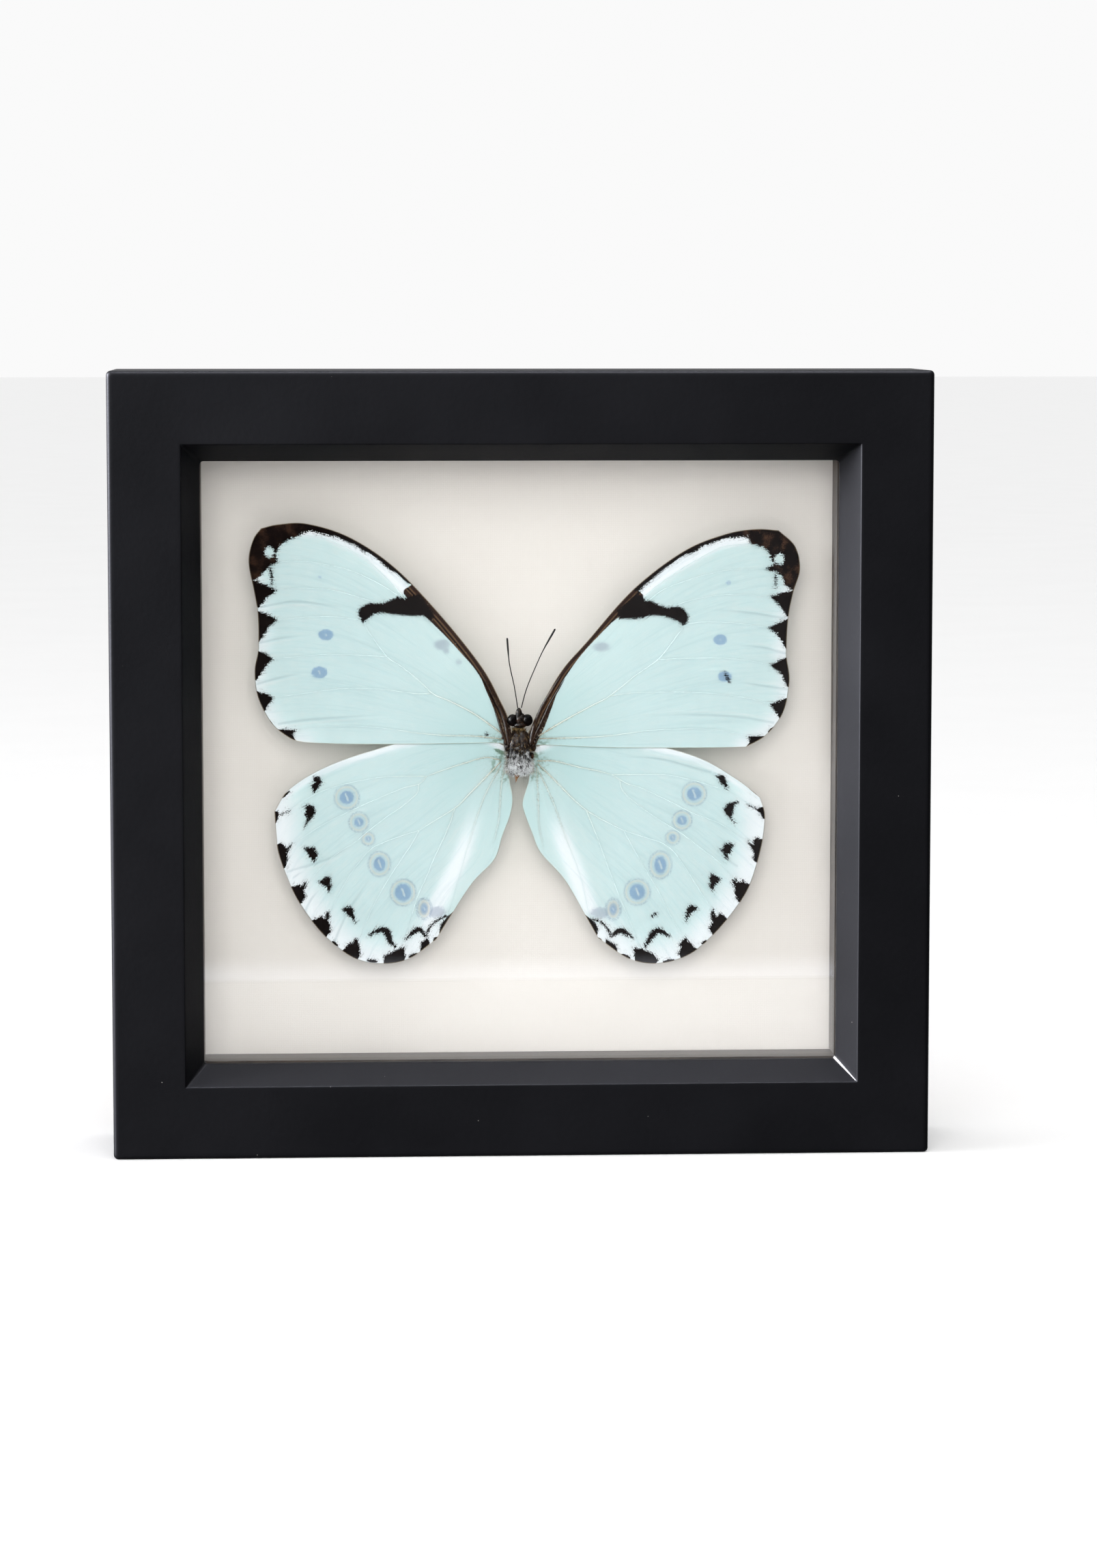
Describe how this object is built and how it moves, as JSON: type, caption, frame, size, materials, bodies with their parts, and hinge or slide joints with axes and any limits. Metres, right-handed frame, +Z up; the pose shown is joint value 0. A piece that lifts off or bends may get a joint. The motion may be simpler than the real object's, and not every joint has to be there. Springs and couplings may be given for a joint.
{
  "type": "framed butterfly specimen",
  "caption": "Square black shadow-box frame with a pale blue butterfly set open behind glass on linen-textured paper, to stand on a shelf or hang on a wall.",
  "frame": {"origin": "the middle of the base that the frame stands on", "axes": "+Z up, -Y the way the glass faces, +X to the right seen from the front"},
  "size_m": [0.182, 0.034, 0.1746],
  "materials": {
    "black_paint": "satin black paint on wood, very finely textured, with a little dust",
    "glass": "clear flat picture glass",
    "dark_wood": "dark brown satin stain",
    "linen_paper": "off-white matt paper embossed with a fine linen weave",
    "foam_board": "white foam board",
    "hardboard": "bare brown hardboard",
    "steel": "zinc-plated steel",
    "wing_scales": "dry scaled wing membrane, pale aqua with dark brown marks",
    "body_chitin": "dark brown chitin with fine golden and grey-white hair",
    "antenna_chitin": "black chitin",
    "dry_tissue": "dry orange-brown tissue",
    "cork": "bare cork"
  },
  "bodies": {
    "root": {"rail_top": "black_paint", "rail_bottom": "black_paint", "rail_left": "black_paint", "rail_right": "black_paint", "glass": "glass", "spacer_top": "dark_wood", "spacer_bottom": "dark_wood", "spacer_left": "dark_wood", "spacer_right": "dark_wood", "backing_paper": "linen_paper", "mount_board": "foam_board", "back_board": "hardboard", "tab_top_left": "steel", "tab_top_right": "steel", "tab_bottom_left": "steel", "tab_bottom_right": "steel", "tab_left_bottom": "steel", "tab_left_top": "steel", "tab_right_bottom": "steel", "tab_right_top": "steel", "hanger": "steel", "nail_left": "steel", "nail_right": "steel", "forewing_left": "wing_scales", "forewing_right": "wing_scales", "hindwing_left": "wing_scales", "hindwing_right": "wing_scales", "thorax": "body_chitin", "head": "body_chitin", "antenna_left": "antenna_chitin", "antenna_right": "antenna_chitin", "abdomen_stub": "dry_tissue", "specimen_mount": "cork"}
  },
  "joints": []
}
